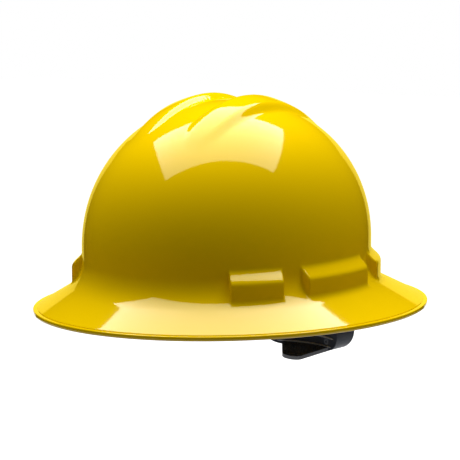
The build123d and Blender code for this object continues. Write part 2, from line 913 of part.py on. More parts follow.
knob_screw = y_cylinder(
    knob_screw_head_radius,
    knob_screw_seat,
    knob_screw_seat + knob_screw_head_height,
    z=knob_height,
)
knob_screw += y_cylinder(knob_screw_radius, knob_screw_tip, knob_screw_seat, z=knob_height)
parts["knob_screw"] = knob_screw
parts["knob_cap"] = y_cylinder(knob_cap_radius, cap_seat, dish_floor, z=knob_height)

for name, shape in parts.items():
    export_step(shape, "parts/" + name + ".step")
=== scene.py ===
import math

import bmesh
import bpy
import numpy as np
from mathutils import Matrix, Vector


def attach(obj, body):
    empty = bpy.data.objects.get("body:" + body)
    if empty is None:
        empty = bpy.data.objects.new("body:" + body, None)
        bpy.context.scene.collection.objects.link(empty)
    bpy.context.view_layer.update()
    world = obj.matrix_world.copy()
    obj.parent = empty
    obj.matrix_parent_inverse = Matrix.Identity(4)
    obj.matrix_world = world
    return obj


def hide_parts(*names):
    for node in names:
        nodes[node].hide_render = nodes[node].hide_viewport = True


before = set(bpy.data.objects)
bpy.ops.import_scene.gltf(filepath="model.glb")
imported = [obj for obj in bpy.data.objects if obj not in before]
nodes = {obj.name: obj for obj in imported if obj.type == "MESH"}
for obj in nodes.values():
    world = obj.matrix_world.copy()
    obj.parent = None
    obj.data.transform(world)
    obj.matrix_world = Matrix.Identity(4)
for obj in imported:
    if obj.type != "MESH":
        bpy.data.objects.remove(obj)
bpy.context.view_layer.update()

# Shell: the dome, the two ridges of its crown, the brim and six hollow bosses are one piece,
# injection moulded in glossy yellow polyethylene. Everything else hangs inside it.
# Angles go round the plan from the front, towards the wearer's left.

dome_half_width = 0.0976
dome_half_length = 0.1157
dome_plan_power = 2.14
dome_rise_power = 2.07
widest_height = 0.048
dome_rise = 0.1061
dome_lean = 0.0017
shell_wall = 0.0026

brim_half_width = 0.138
brim_half_length = 0.160
brim_setback = 0.0057
brim_root_height = 0.024
brim_blend = 0.0135
brim_wall = 0.003
rim_height = 0.0032
rim_width = 0.0032
rim_step = 0.0005
rim_round = 0.0007
rim_foot_inset = rim_width + rim_step
rim_foot_marks = [(1.0, 0.12), (0.96, 0.02), (0.85, 0.0), (0.5, 0.0)]
rim_top_marks = (0.5, 0.8, 0.9)
rim_step_marks = (0.15, 0.5, 0.85)
rim_step_start = 0.94

ridge_far_side = 0.037
ridge_half_length = 0.078
ridge_rise = 0.0057
ridge_edge_blend = 0.0066
ridge_corner_power = 6.0
ridge_arch_power = 1.75
trough_half_width = 0.0127
trough_flare = 0.008
trough_flare_power = 8.0
trough_side = 0.007
crown_fade_height = dome_rise / 4
inner_ridge_shift_share = 0.55

boss_depth = 0.0075
boss_top = 0.0345
boss_slope = 0.007
boss_edge_round = 0.0022
# Each boss's place in degrees round the plan, and its width.
boss_places = [(49, 0.039), (90, 0.072), (131, 0.039), (229, 0.039), (270, 0.072), (311, 0.039)]
boss_side_wall = 0.0026
pocket_near = 0.0004
pocket_far = 0.0049
pocket_roof = 0.0319
pocket_lip = 0.0002
underside_step = 0.0002

plan_lines = 256
boss_edge_lines = 8
boss_edge_turn = 0.012
line_clearance = 1.6
pocket_lip_reach = 0.1
bead_steps = 4
brim_rings = 24
brim_first_share = 0.01
bend_level = 0.025
wall_levels = [27, 29, 31, 32.5, 33.4, 33.9, 34.3, 34.7, 35.1, 35.6, 36.4, 37.6, 39, 40.2, 40.8]
wall_levels += [41.2, 41.6, 42.0, 42.6, 43.5, 45]
dome_rings = 87
dome_ring_power = 0.93
inner_dome_rings = 39
underside_table_steps = 200
underside_offsets = [-2.58, -2.5, -2.2, -1.6, -0.8, -0.1, 0.25, 0.38, 0.42, 0.6, 2.6, 4.7, 4.88, 4.92]
underside_rings = 13
millimetre = 0.001
shell_sharp_angle = math.radians(50)

shell_yellow = (0.86, 0.562, 0.0, 1.0)
shell_paler_share = 1.03
shell_roughness = (0.04, 0.08)
shell_grain_size = 0.0012
shell_grain_depth = 0.000001
shell_drift_size = 0.05
shell_ior = 1.46
shell_gloss_tint = (1.0, 1.0, 0.68, 1.0)
skin_detail = 2.0


def smooth(value):
    share = np.clip(value, 0.0, 1.0)
    return share * share * (3.0 - 2.0 * share)


def lesser(one, other, rounding):
    # The smaller of two lengths, with a rounded change from one to the other.
    share = np.clip(0.5 + 0.5 * (other - one) / rounding, 0.0, 1.0)
    return other + (one - other) * share - rounding * share * (1.0 - share)


def greater(one, other, rounding):
    return -lesser(-one, -other, rounding)


def plan_radius(turns, grow=0.0):
    across = np.abs(np.sin(turns) / (dome_half_width + grow)) ** dome_plan_power
    along = np.abs(np.cos(turns) / (dome_half_length + grow)) ** dome_plan_power
    return (across + along) ** (-1.0 / dome_plan_power)


def brim_radius(turns, inset):
    wide = brim_half_width - inset
    long = brim_half_length - inset
    ahead = -np.cos(turns)
    a = (np.sin(turns) / wide) ** 2 + (ahead / long) ** 2
    b = -2.0 * ahead * brim_setback / long**2
    c = (brim_setback / long) ** 2 - 1.0
    return (np.sqrt(b * b - 4.0 * a * c) - b) / (2.0 * a)


def crown_relief(x, y, shift):
    # Height of the two ridges above the plain dome at a point of the plan. They fade fore and aft.
    # The inner skin has the ridges' sides moved in by shift.
    side = ridge_far_side - shift
    across = np.abs(x) / side
    along = np.minimum(np.abs(y) / ridge_half_length, 1.0)
    reach = (across**ridge_corner_power + along**ridge_corner_power) ** (1.0 / ridge_corner_power)
    plateau = smooth((1.0 - reach) * side / ridge_edge_blend + 0.5)
    arch = 1.0 - along**ridge_arch_power
    foot = trough_half_width + shift + trough_flare * along**trough_flare_power
    short = 1.0 - np.clip((np.abs(x) - foot) / trough_side, 0.0, 1.0)
    return ridge_rise * plateau * arch * (1.0 - short**2)


def ring(turns, radius, height):
    return np.column_stack([np.sin(turns) * radius, -np.cos(turns) * radius, height + 0.0 * turns])


def dome_ring(turns, lift, grow):
    # lift runs from 0 at the widest level to 1 at the crown.
    spread = math.cos(lift * math.pi / 2) ** (2.0 / dome_rise_power)
    climb = math.sin(lift * math.pi / 2) ** (2.0 / dome_rise_power)
    points = ring(turns, plan_radius(turns, grow) * spread, widest_height + (dome_rise + grow) * climb)
    points[:, 1] += dome_lean * climb
    fade = smooth((points[:, 2] - widest_height) / crown_fade_height)
    shift = -grow * inner_ridge_shift_share
    points[:, 2] += crown_relief(points[:, 0], points[:, 1], shift) * fade * climb
    return points


def brim_slope(turns):
    outer = brim_radius(turns, rim_width)
    foot = plan_radius(turns)
    slope = (brim_root_height - rim_height - rim_step) / (outer - foot)
    return outer, foot, slope


def bend_share(turns, height):
    # How far round the bend from brim to wall a height lies: 0 on the brim, 1 on the wall.
    outer, foot, slope = brim_slope(turns)
    climb = (height - brim_root_height) / brim_blend + slope
    return (np.sqrt(np.maximum(slope**2 + (1.0 - slope) * climb, 0.0)) - slope) / (1.0 - slope)


def brim_ring(turns, along):
    # along is a length: out on the straight slope it is the distance in from the rim's step.
    outer, foot, slope = brim_slope(turns)
    start = outer - foot - brim_blend
    bend = np.clip((along - start) / (2.0 * brim_blend), 0.0, 1.0)
    straight = np.minimum(along, start)
    radius = np.where(along < start, outer - straight, foot + brim_blend * (1.0 - bend) ** 2)
    rise = brim_blend * (2.0 * bend * (1.0 - bend) * slope + bend**2 * (slope + 1.0))
    return radius, rim_height + rim_step + slope * straight + np.where(along < start, 0.0, rise)


def boss_reach(turns, height):
    # How far the bosses stand out of the wall, below zero where there are none.
    foot = plan_radius(turns)
    roof = boss_depth * (boss_top + boss_slope - height) / boss_slope
    front = lesser(roof, boss_depth, boss_edge_round)
    reach = np.full(len(turns), -boss_depth)
    for place, width in boss_places:
        beside = np.abs((turns - math.radians(place) + math.pi) % (2.0 * math.pi) - math.pi)
        side = width / 2 / np.maximum(np.sin(np.minimum(beside, math.pi / 2)), 0.01) - foot
        reach = np.maximum(reach, lesser(side, front, boss_edge_round))
    return reach


def with_bosses(turns, radius, height):
    foot = plan_radius(turns)
    pushed = foot + greater(radius - foot, boss_reach(turns, height), boss_edge_round)
    return ring(turns, np.where(height > boss_top + 2 * boss_slope, radius, pushed), height)


def shell_turns(steps, edge_lines):
    # Even lines round the plan, with closer ones at each side of a boss and of its pocket.
    close = []
    for place, width in boss_places:
        middle = math.radians(place)
        for side in (-1, 1):
            first = math.asin(width / 2 / (plan_radius(middle) + boss_depth)) - boss_edge_turn
            last = math.asin(width / 2 / plan_radius(middle)) + boss_edge_turn
            close.append(middle + side * np.linspace(first, last, edge_lines))
            mouth = math.asin((width / 2 - boss_side_wall) / (plan_radius(middle) + pocket_far))
            lips = pocket_lip / pocket_lip_reach * np.array([-1.0, 1.0])
            close.append(middle + side * (mouth + lips))
    close = np.concatenate(close) % (2.0 * math.pi)
    even = np.arange(steps) * 2.0 * math.pi / steps
    gaps = np.abs((even[:, None] - close[None, :] + math.pi) % (2.0 * math.pi) - math.pi)
    return np.sort(np.concatenate([even[gaps.min(axis=1) > line_clearance / steps], close]))


def in_pocket(turns):
    inside = np.zeros(len(turns), bool)
    for place, width in boss_places:
        middle = math.radians(place)
        mouth = math.asin((width / 2 - boss_side_wall) / (plan_radius(middle) + pocket_far))
        beside = np.abs((turns - middle + math.pi) % (2.0 * math.pi) - math.pi)
        inside |= beside < mouth
    return inside


def shell_rings(turns):
    rings = []
    # Rim, from its inner foot out round the bead to the step where the brim begins.
    for inset, height in rim_foot_marks:
        rings.append(ring(turns, brim_radius(turns, inset * rim_foot_inset), height * rim_height))
    for low, quarter in ((rim_round, -1), (rim_height - rim_round, 1)):
        for i in range(bead_steps + 1):
            lean = math.pi / 2 * (i if quarter > 0 else bead_steps - i) / bead_steps
            inset = rim_round * (1.0 - math.cos(lean))
            height = low + quarter * rim_round * math.sin(lean)
            rings.append(ring(turns, brim_radius(turns, inset), height))
    for share in rim_top_marks:
        rings.append(ring(turns, brim_radius(turns, share * rim_width), rim_height))
    for share in rim_step_marks:
        height = rim_height + rim_step * smooth(share)
        inset = (rim_step_start + (1.0 - rim_step_start) * share) * rim_width
        rings.append(ring(turns, brim_radius(turns, inset), height))
    # Brim, then the bend and the wall with the bosses.
    outer, foot, slope = brim_slope(turns)
    bend_end = outer - foot - brim_blend + 2.0 * brim_blend * bend_share(turns, bend_level)
    for share in np.linspace(brim_first_share, 1.0, brim_rings):
        radius, height = brim_ring(turns, share * bend_end)
        rings.append(with_bosses(turns, radius, height))
    for level in wall_levels:
        height = level * millimetre
        bend = np.minimum(bend_share(turns, height), 1.0)
        radius = foot + brim_blend * (1.0 - bend) ** 2
        rings.append(with_bosses(turns, radius, np.full(len(turns), height)))
    for lift in np.linspace(0.0, 1.0, dome_rings + 1)[:-1]:
        rings.append(dome_ring(turns, lift**dome_ring_power, 0.0))
    crown = len(rings)
    # Inside: down the dome, round the bend and out along the underside of the brim.
    for lift in np.linspace(1.0, 0.0, inner_dome_rings + 1)[1:]:
        rings.append(dome_ring(turns, lift, -shell_wall))
    lengths = outer - foot + brim_blend
    radii = []
    heights = []
    for share in np.linspace(0.0, 1.0, underside_table_steps):
        radius, height = brim_ring(turns, share * lengths)
        radii.append(radius - shell_wall * smooth(share))
        heights.append(height - brim_wall)
    radii = np.array(radii)
    heights = np.array(heights)
    inside = in_pocket(turns)
    underside = [foot + offset * millimetre for offset in underside_offsets]
    far = brim_radius(turns, rim_foot_inset)
    near = foot + pocket_far + underside_step
    for share in np.linspace(0.0, 1.0, underside_rings + 1):
        underside.append(near + (far - near) * share)
    for radius in underside:
        height = np.array(
            [np.interp(-radius[i], -radii[:, i], heights[:, i]) for i in range(len(turns))]
        )
        deep = inside & (radius > foot + pocket_near) & (radius < foot + pocket_far)
        height = np.where(deep, pocket_roof, height)
        rings.append(ring(turns, np.minimum(radius, far), height))
    return rings, crown


def mesh_object(name, points, faces):
    mesh = bpy.data.meshes.new(name)
    mesh.from_pydata([tuple(p) for p in points], [], faces)
    mesh.validate()
    mesh.shade_smooth()
    piece = bpy.data.objects.new(name, mesh)
    bpy.context.scene.collection.objects.link(piece)
    return piece


def shell_mesh():
    turns = shell_turns(plan_lines, boss_edge_lines)
    rings, crown = shell_rings(turns)
    count = len(turns)
    points = np.concatenate(rings)
    faces = []
    for i in range(len(rings)):
        if i == crown - 1:
            continue
        below = i * count
        above = (i + 1) % len(rings) * count
        for j in range(count):
            k = (j + 1) % count
            faces.append((below + j, below + k, above + k, above + j))
    # The two poles, outside and inside, close with a fan of triangles.
    poles = (((crown - 1) * count, 0.0, True), (crown * count, -shell_wall, False))
    for first, grow, outside in poles:
        top = dome_ring(np.zeros(1), 1.0, grow)[0]
        pole = len(points)
        points = np.vstack([points, top])
        for j in range(count):
            k = (j + 1) % count
            faces.append((first + j, first + k, pole) if outside else (first + k, first + j, pole))
    piece = mesh_object("shell_moulding", points, faces)
    piece.data.set_sharp_from_angle(angle=shell_sharp_angle)
    return piece


def new_finish(name):
    # A material with its Principled shader, ready for the nodes of one finish.
    finish = bpy.data.materials.new(name)
    finish.use_nodes = True
    tree = finish.node_tree
    return finish, tree, tree.links, tree.nodes["Principled BSDF"]


def add_sockets(tree, side, names):
    for name in names:
        tree.interface.new_socket(name, in_out=side, socket_type="NodeSocketFloat")


def add_math(tree, operation, *values):
    # Each value is a number or another node's socket.
    node = tree.nodes.new("ShaderNodeMath")
    node.operation = operation
    for entry, value in zip(node.inputs, values):
        if isinstance(value, float):
            entry.default_value = value
        else:
            tree.links.new(value, entry)
    return node.outputs[0]


def moulded_skin_group():
    # Unevenness of a moulded surface: a fine grain and a slow drift, both from 0 to 1.
    group = bpy.data.node_groups.new("moulded_skin", "ShaderNodeTree")
    add_sockets(group, "INPUT", ("Grain size", "Drift size"))
    add_sockets(group, "OUTPUT", ("Grain", "Drift"))
    start = group.nodes.new("NodeGroupInput")
    end = group.nodes.new("NodeGroupOutput")
    place = group.nodes.new("ShaderNodeTexCoord")
    for entry, out in (("Grain size", "Grain"), ("Drift size", "Drift")):
        noise = group.nodes.new("ShaderNodeTexNoise")
        noise.inputs["Detail"].default_value = skin_detail
        scale = add_math(group, "DIVIDE", 1.0, start.outputs[entry])
        group.links.new(place.outputs["Object"], noise.inputs["Vector"])
        group.links.new(scale, noise.inputs["Scale"])
        group.links.new(noise.outputs["Fac"], end.inputs[out])
    return group


moulded_skin = moulded_skin_group()


def add_group(tree, group, values):
    node = tree.nodes.new("ShaderNodeGroup")
    node.node_tree = group
    for name, value in values.items():
        node.inputs[name].default_value = value
    return node


def add_range(tree, source, low, high):
    # Carries a value from 0 to 1 over to the range from low to high.
    node = tree.nodes.new("ShaderNodeMapRange")
    node.inputs["To Min"].default_value = low
    node.inputs["To Max"].default_value = high
    tree.links.new(source, node.inputs["Value"])
    return node.outputs["Result"]


def add_mix(tree, share, one, other):
    node = tree.nodes.new("ShaderNodeMix")
    node.data_type = "RGBA"
    node.inputs["A"].default_value = one
    node.inputs["B"].default_value = other
    tree.links.new(share, node.inputs["Factor"])
    return node.outputs["Result"]


def add_bump(tree, height, depth):
    node = tree.nodes.new("ShaderNodeBump")
    node.inputs["Distance"].default_value = depth
    tree.links.new(height, node.inputs["Height"])
    return node.outputs["Normal"]


def shell_finish():
    finish, tree, links, shader = new_finish("glossy_yellow_shell")
    sizes = {"Grain size": shell_grain_size, "Drift size": shell_drift_size}
    skin = add_group(tree, moulded_skin, sizes)
    paler = tuple(min(1.0, shell_paler_share * channel) for channel in shell_yellow)
    colour = add_mix(tree, skin.outputs["Drift"], shell_yellow, paler)
    rough = add_range(tree, skin.outputs["Drift"], *shell_roughness)
    links.new(colour, shader.inputs["Base Color"])
    links.new(rough, shader.inputs["Roughness"])
    links.new(add_bump(tree, skin.outputs["Grain"], shell_grain_depth), shader.inputs["Normal"])
    shader.inputs["IOR"].default_value = shell_ior
    shader.inputs["Specular Tint"].default_value = shell_gloss_tint
    return finish


shell = shell_mesh()
shell.data.materials.append(shell_finish())
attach(shell, "shell")
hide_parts("shell")

# Keys: six hooks moulded in black nylon, pushed up into the shell's bosses from below.
# Each has a window that the crown webbing passes through, and four carry the headband.

plain_shine = 0.5
plastic_drift_size = 0.02
roughness_play = 0.06
part_sharp_angle = math.radians(30)


def moulded_plastic(name, colour, worn, roughness, grain_size, grain_depth, shine=plain_shine):
    finish, tree, links, shader = new_finish(name)
    sizes = {"Grain size": grain_size, "Drift size": plastic_drift_size}
    skin = add_group(tree, moulded_skin, sizes)
    low = roughness - roughness_play
    high = roughness + roughness_play
    rough = add_range(tree, skin.outputs["Grain"], low, high)
    links.new(add_mix(tree, skin.outputs["Drift"], colour, worn), shader.inputs["Base Color"])
    links.new(rough, shader.inputs["Roughness"])
    links.new(add_bump(tree, skin.outputs["Grain"], grain_depth), shader.inputs["Normal"])
    shader.inputs["Specular IOR Level"].default_value = shine
    return finish


def dress(names, finish):
    # Gives kept CAD nodes their finish.
    for name in names:
        nodes[name].data.materials.clear()
        nodes[name].data.materials.append(finish)
        nodes[name].data.shade_smooth()
        nodes[name].data.set_sharp_from_angle(angle=part_sharp_angle)


satin_nylon = moulded_plastic(
    "satin_black_nylon",
    colour=(0.018, 0.021, 0.030, 1.0),
    worn=(0.040, 0.045, 0.058, 1.0),
    roughness=0.38,
    grain_size=0.0006,
    grain_depth=0.00001,
)
dress([name for name in nodes if name.startswith("key_")], satin_nylon)

# Crown webbing: three flat straps of black woven nylon that cross under the crown. Each end goes
# down inside a key's bar, out through the key's window, up over the bar, and is folded back and
# sewn to the strap with a box of stitches and a cross.

webbing_width = 0.019
webbing_thickness = 0.0012
webbing_edge = 0.0004
webbing_shoulder = (0.3, 0.7)
webbing_face_marks = (0.8, 0.4, 0.0, -0.4, -0.8)
bar_inset = 0.00925
bar_level = 0.033
bar_loop = 0.0028
leave_turn = math.radians(395)
strap_top = 0.118
strap_step = 0.0021
lap_length = 0.018
lap_gap = 0.00008
strap_arch_points = 90
strap_loop_points = 26
tail_spacing = 0.0008
tail_easing = 3
# Each strap's place in degrees round the plan, and how many straps it crosses over.
strap_places = {
    "crown_strap_front_left": (49, 0),
    "crown_strap_side": (90, 1),
    "crown_strap_front_right": (-49, 2),
}
lap_row_side = 0.0072
lap_row_marks = (0.0025, 0.0145)
lap_stitch = {"Pitch": 0.0022, "Stitch length": 0.0019, "Thread radius": 0.00032}
stitch_segments = 8
stitch_rings = 6
fibre_scale = 900.0
thread_grey = (0.09, 0.092, 0.1, 1.0)
thread_paler_share = 1.4
thread_roughness = (0.5, 0.7)
thread_twist = {"Grain size": 0.00015, "Drift size": 0.004}


def measured(path):
    # Distance along a row of points from its first one.
    return np.concatenate([[0.0], np.cumsum(np.linalg.norm(np.diff(path, axis=0), axis=1))])


def respaced(path, spacing):
    # The same line with even spaces between its points.
    length = measured(path)
    marks = np.linspace(0.0, length[-1], max(2, round(length[-1] / spacing)))
    return np.column_stack([np.interp(marks, length, path[:, i]) for i in range(path.shape[1])])


def eased(path, rounds):
    # Evens out the corners of a line and leaves its ends.
    for i in range(rounds):
        path[1:-1] = (path[:-2] + 2.0 * path[1:-1] + path[2:]) / 4.0
    return path


def half_strap(reach, top):
    # A strap's middle line in its own upright plane, from the crown to the end of its lap.
    middle = reach - bar_loop
    turns = np.linspace(0.0, math.pi / 2, strap_arch_points)
    arch_heights = bar_level + (top - bar_level) * np.cos(turns)
    arch = np.column_stack([middle * np.sin(turns), arch_heights])
    loops = np.linspace(math.pi, leave_turn, strap_loop_points)
    loop_heights = bar_level + bar_loop * np.sin(loops)
    loop = np.column_stack([reach + bar_loop * np.cos(loops), loop_heights])
    outer = arch[::-1] + np.array([webbing_thickness + lap_gap, 0.0])
    rise = measured(outer)
    start = loop[-1, 1] + (loop[-1, 0] - outer[0, 0]) / math.tan(leave_turn - 2 * math.pi)
    first = np.searchsorted(outer[:, 1], start)
    last = np.searchsorted(rise, rise[first] + lap_length)
    tail = respaced(np.vstack([loop[-1:], outer[first:last]]), tail_spacing)
    tail = eased(tail, tail_easing)
    return np.vstack([arch[:-1], loop, tail[1:]])


def sides_of(path):
    # Unit normals of a path in its plane.
    along = np.gradient(path, axis=0)
    along /= np.linalg.norm(along, axis=1)[:, None]
    return np.column_stack([along[:, 1], -along[:, 0]])


def ribbon_profile():
    # Section of the webbing: across and through, with rounded edges.
    across = webbing_width / 2
    through = webbing_thickness / 2
    shoulder = (across - webbing_shoulder[0] * webbing_edge, webbing_shoulder[1] * through)
    side = [(across - webbing_edge, through), shoulder, (across, 0.0)]
    face = [(x * across, through) for x in webbing_face_marks]
    upper = side[::-1] + face + [(-x, z) for x, z in side]
    return np.array(upper + [(-x, -z) for x, z in upper[1:-1]])


def closed_sweep(name, sections, along, across):
    # A tube through equal sections, closed at both ends, with a UV map in metres.
    count = len(sections[0])
    points = np.concatenate(sections)
    faces = []
    for i in range(len(sections) - 1):
        for j in range(count):
            k = (j + 1) % count
            a = i * count
            b = a + count
            faces.append((a + j, a + k, b + k, b + j))
    faces.append(tuple(range(count))[::-1])
    faces.append(tuple(range((len(sections) - 1) * count, len(sections) * count)))
    piece = mesh_object(name, points, faces)
    layer = piece.data.uv_layers.new(name="weave")
    for loop in piece.data.loops:
        section, corner = divmod(loop.vertex_index, count)
        layer.data[loop.index].uv = (across[corner], along[section])
    outwards(piece)
    return piece


def outwards(piece):
    # Turns a closed mesh's normals to the outside.
    shape = bmesh.new()
    shape.from_mesh(piece.data)
    bmesh.ops.recalc_face_normals(shape, faces=shape.faces)
    shape.to_mesh(piece.data)
    shape.free()


def woven_group():
    # A plain weave on the piece's own UV map, which is in metres: thread height, and a shade that is
    # painted light on the threads and painted shade between them, broken by fibre noise.
    group = bpy.data.node_groups.new("woven_threads", "ShaderNodeTree")
    add_sockets(group, "INPUT", ("Warp pitch", "Weft pitch"))
    add_sockets(group, "OUTPUT", ("Height", "Shade"))
    start = group.nodes.new("NodeGroupInput")
    end = group.nodes.new("NodeGroupOutput")
    place = group.nodes.new("ShaderNodeUVMap")
    split = group.nodes.new("ShaderNodeSeparateXYZ")
    group.links.new(place.outputs["UV"], split.inputs[0])
    waves = []
    for axis, pitch in (("X", "Warp pitch"), ("Y", "Weft pitch")):
        turns = add_math(group, "DIVIDE", split.outputs[axis], start.outputs[pitch])
        angle = add_math(group, "MULTIPLY", turns, 2.0 * math.pi)
        waves.append(add_math(group, "SINE", angle))
    height = group.nodes.new("ShaderNodeMapRange")
    height.inputs["From Min"].default_value = -1.0
    group.links.new(add_math(group, "MULTIPLY", *waves), height.inputs["Value"])
    fibre = group.nodes.new("ShaderNodeTexNoise")
    fibre.inputs["Scale"].default_value = fibre_scale
    group.links.new(place.outputs["UV"], fibre.inputs["Vector"])
    shade = add_math(group, "MULTIPLY", height.outputs["Result"], fibre.outputs["Fac"])
    group.links.new(height.outputs["Result"], end.inputs["Height"])
    group.links.new(shade, end.inputs["Shade"])
    return group


woven_threads = woven_group()


def woven_cloth(name, pitches, deep, lit, roughness, depth, sheen):
    # pitches are those of warp and weft; deep and lit are the colours between and on the threads:
    # painted shade between them and painted light on them.
    finish, tree, links, shader = new_finish(name)
    weave = add_group(tree, woven_threads, {"Warp pitch": pitches[0], "Weft pitch": pitches[1]})
    colour = add_mix(tree, weave.outputs["Shade"], deep, lit)
    links.new(colour, shader.inputs["Base Color"])
    links.new(add_range(tree, weave.outputs["Height"], *roughness), shader.inputs["Roughness"])
    links.new(add_bump(tree, weave.outputs["Height"], depth), shader.inputs["Normal"])
    shader.inputs["Sheen Weight"].default_value = sheen
    return finish


def stitch_tree(thread):
    # Stitches in even rows along a mesh of bare edges.
    tree = bpy.data.node_groups.new("sewn_rows", "GeometryNodeTree")
    tree.interface.new_socket("Rows", in_out="INPUT", socket_type="NodeSocketGeometry")
    add_sockets(tree, "INPUT", ("Pitch", "Stitch length", "Thread radius"))
    tree.interface.new_socket("Stitches", in_out="OUTPUT", socket_type="NodeSocketGeometry")
    start = tree.nodes.new("NodeGroupInput")
    end = tree.nodes.new("NodeGroupOutput")
    rows = tree.nodes.new("GeometryNodeMeshToCurve")
    marks = tree.nodes.new("GeometryNodeCurveToPoints")
    marks.mode = "LENGTH"
    stitch = tree.nodes.new("GeometryNodeMeshUVSphere")
    stitch.inputs["Segments"].default_value = stitch_segments
    stitch.inputs["Rings"].default_value = stitch_rings
    stitch.inputs["Radius"].default_value = 1.0
    size = tree.nodes.new("ShaderNodeCombineXYZ")
    turned = tree.nodes.new("FunctionNodeAlignRotationToVector")
    turned.axis = "Z"
    place = tree.nodes.new("GeometryNodeInstanceOnPoints")
    real = tree.nodes.new("GeometryNodeRealizeInstances")
    coat = tree.nodes.new("GeometryNodeSetMaterial")
    coat.inputs["Material"].default_value = thread
    link = tree.links.new
    link(start.outputs["Rows"], rows.inputs["Mesh"])
    link(rows.outputs["Curve"], marks.inputs["Curve"])
    link(start.outputs["Pitch"], marks.inputs["Length"])
    link(start.outputs["Thread radius"], size.inputs["X"])
    link(start.outputs["Thread radius"], size.inputs["Y"])
    link(add_math(tree, "MULTIPLY", start.outputs["Stitch length"], 0.5), size.inputs["Z"])
    link(marks.outputs["Tangent"], turned.inputs["Vector"])
    link(marks.outputs["Points"], place.inputs["Points"])
    link(stitch.outputs["Mesh"], place.inputs["Instance"])
    link(turned.outputs["Rotation"], place.inputs["Rotation"])
    link(size.outputs[0], place.inputs["Scale"])
    link(place.outputs["Instances"], real.inputs["Geometry"])
    link(real.outputs["Geometry"], coat.inputs["Geometry"])
    link(coat.outputs["Geometry"], end.inputs["Stitches"])
    return tree


def sewn(name, rows, tree, sizes):
    # Bakes stitches along rows of points into one plain mesh.
    points = []
    edges = []
    for row in rows:
        edges += [(len(points) + i, len(points) + i + 1) for i in range(len(row) - 1)]
        points += [tuple(point) for point in row]
    mesh = bpy.data.meshes.new(name + "_rows")
    mesh.from_pydata(points, edges, [])
    guide = bpy.data.objects.new(name + "_rows", mesh)
    bpy.context.scene.collection.objects.link(guide)
    maker = guide.modifiers.new("stitches", "NODES")
    maker.node_group = tree
    for entry in tree.interface.items_tree:
        if entry.name in sizes:
            maker[entry.identifier] = sizes[entry.name]
    ready = guide.evaluated_get(bpy.context.evaluated_depsgraph_get())
    baked = bpy.data.meshes.new_from_object(ready)
    bpy.data.objects.remove(guide)
    piece = bpy.data.objects.new(name, baked)
    piece.data.shade_smooth()
    bpy.context.scene.collection.objects.link(piece)
    return piece


def thread_finish(name, colour):
    finish, tree, links, shader = new_finish(name)
    skin = add_group(tree, moulded_skin, thread_twist)
    paler = tuple(min(1.0, thread_paler_share * channel) for channel in colour)
    rough = add_range(tree, skin.outputs["Drift"], *thread_roughness)
    links.new(add_mix(tree, skin.outputs["Grain"], colour, paler), shader.inputs["Base Color"])
    links.new(rough, shader.inputs["Roughness"])
    return finish


webbing_cloth = woven_cloth(
    "black_nylon_webbing",
    pitches=(0.0009, 0.0013),
    deep=(0.008, 0.009, 0.012, 1.0),
    lit=(0.05, 0.053, 0.065, 1.0),
    roughness=(0.8, 0.6),
    depth=0.0002,
    sheen=0.25,
)
webbing_thread = thread_finish("grey_sewing_thread", thread_grey)
webbing_stitches = stitch_tree(webbing_thread)


def crown_strap(name, angle, layer):
    turn = math.radians(angle)
    reach = float(plan_radius(np.array([turn]))[0]) - bar_inset
    half = half_strap(reach, strap_top + layer * strap_step)
    path = np.vstack([half[::-1] * np.array([-1.0, 1.0]), half[1:]])
    normals = sides_of(path)
    outward = np.array([math.sin(turn), -math.cos(turn), 0.0])
    sideways = np.array([math.cos(turn), math.sin(turn), 0.0])
    upright = np.array([0.0, 0.0, 1.0])
    profile = ribbon_profile()

    def spot(place, normal, across, through):
        flat = place + normal * through
        return flat[0] * outward + flat[1] * upright + across * sideways

    sections = [
        np.array([spot(p, n, across, through) for across, through in profile])
        for p, n in zip(path, normals)
    ]
    strap = closed_sweep(name + "_webbing", sections, measured(path), profile[:, 0])
    strap.data.materials.append(webbing_cloth)
    # Rows of stitches on each lap, on the side that faces the shell.
    length = measured(path)
    rows = []
    for end in (0, 1):
        corners = []
        for mark in lap_row_marks:
            at = mark if end == 0 else length[-1] - mark
            place = np.array([np.interp(at, length, path[:, i]) for i in (0, 1)])
            normal = np.array([np.interp(at, length, normals[:, i]) for i in (0, 1)])
            for side in (-lap_row_side, lap_row_side):
                corners.append(spot(place, normal, side, webbing_thickness / 2))
        a, b, c, d = corners
        rows += [[a, b], [b, d], [d, c], [c, a], [a, d], [b, c]]
    stitches = sewn(name + "_stitches", rows, webbing_stitches, lap_stitch)
    for piece in (strap, stitches):
        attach(piece, "harness")
    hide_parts(name)


for name, (angle, layer) in strap_places.items():
    crown_strap(name, angle, layer)

# Headband: a strip of black polyethylene that bends round the brow and the sides of the head.
# It hangs from studs on four of the keys and has vents and a slot each side for the sliders.

dress(["headband"], satin_nylon)

# Brow pad: a strip of foam in black knitted cloth, sewn along both edges and across in two
# places. It lies against the inner face of the headband's front.

pad_face_width = 0.076
pad_face_reach = 0.068
pad_centre = -0.030
pad_turn = math.radians(56.5)
pad_low = -0.0065
pad_high = 0.024
pad_start_thickness = 0.0032
pad_full_thickness = 0.005
pad_stand_off = 0.0001
pad_swell = 0.0013
pad_seam_inset = 0.0036
pad_seam_depth = 0.0010
pad_seam_width = 0.0011
pad_cross_seams = (-math.radians(20), math.radians(20))
pad_low_skin = 0.0012
pad_seam_skin = 0.0016
pad_sections = 110
pad_end_share = 1 / 12
pad_edge_share = 1 / 9
pad_end_thickness_share = 0.25
pad_edge_thickness_share = 0.3
pad_end_height_share = 0.86
pad_marks = [0.0, 0.03, 0.1] + [i / 14 for i in range(2, 13)] + [0.9, 0.97, 1.0]
cloth_pressure = 4.0
cloth_quality = 6
cloth_mass = 0.05
cloth_frames = 20
seam_end_share = 0.94
seam_points = 60
seam_sink_share = 0.9
seam_stitch = {"Pitch": 0.0030, "Stitch length": 0.0022, "Thread radius": 0.0003}
pad_face_percentile = 97


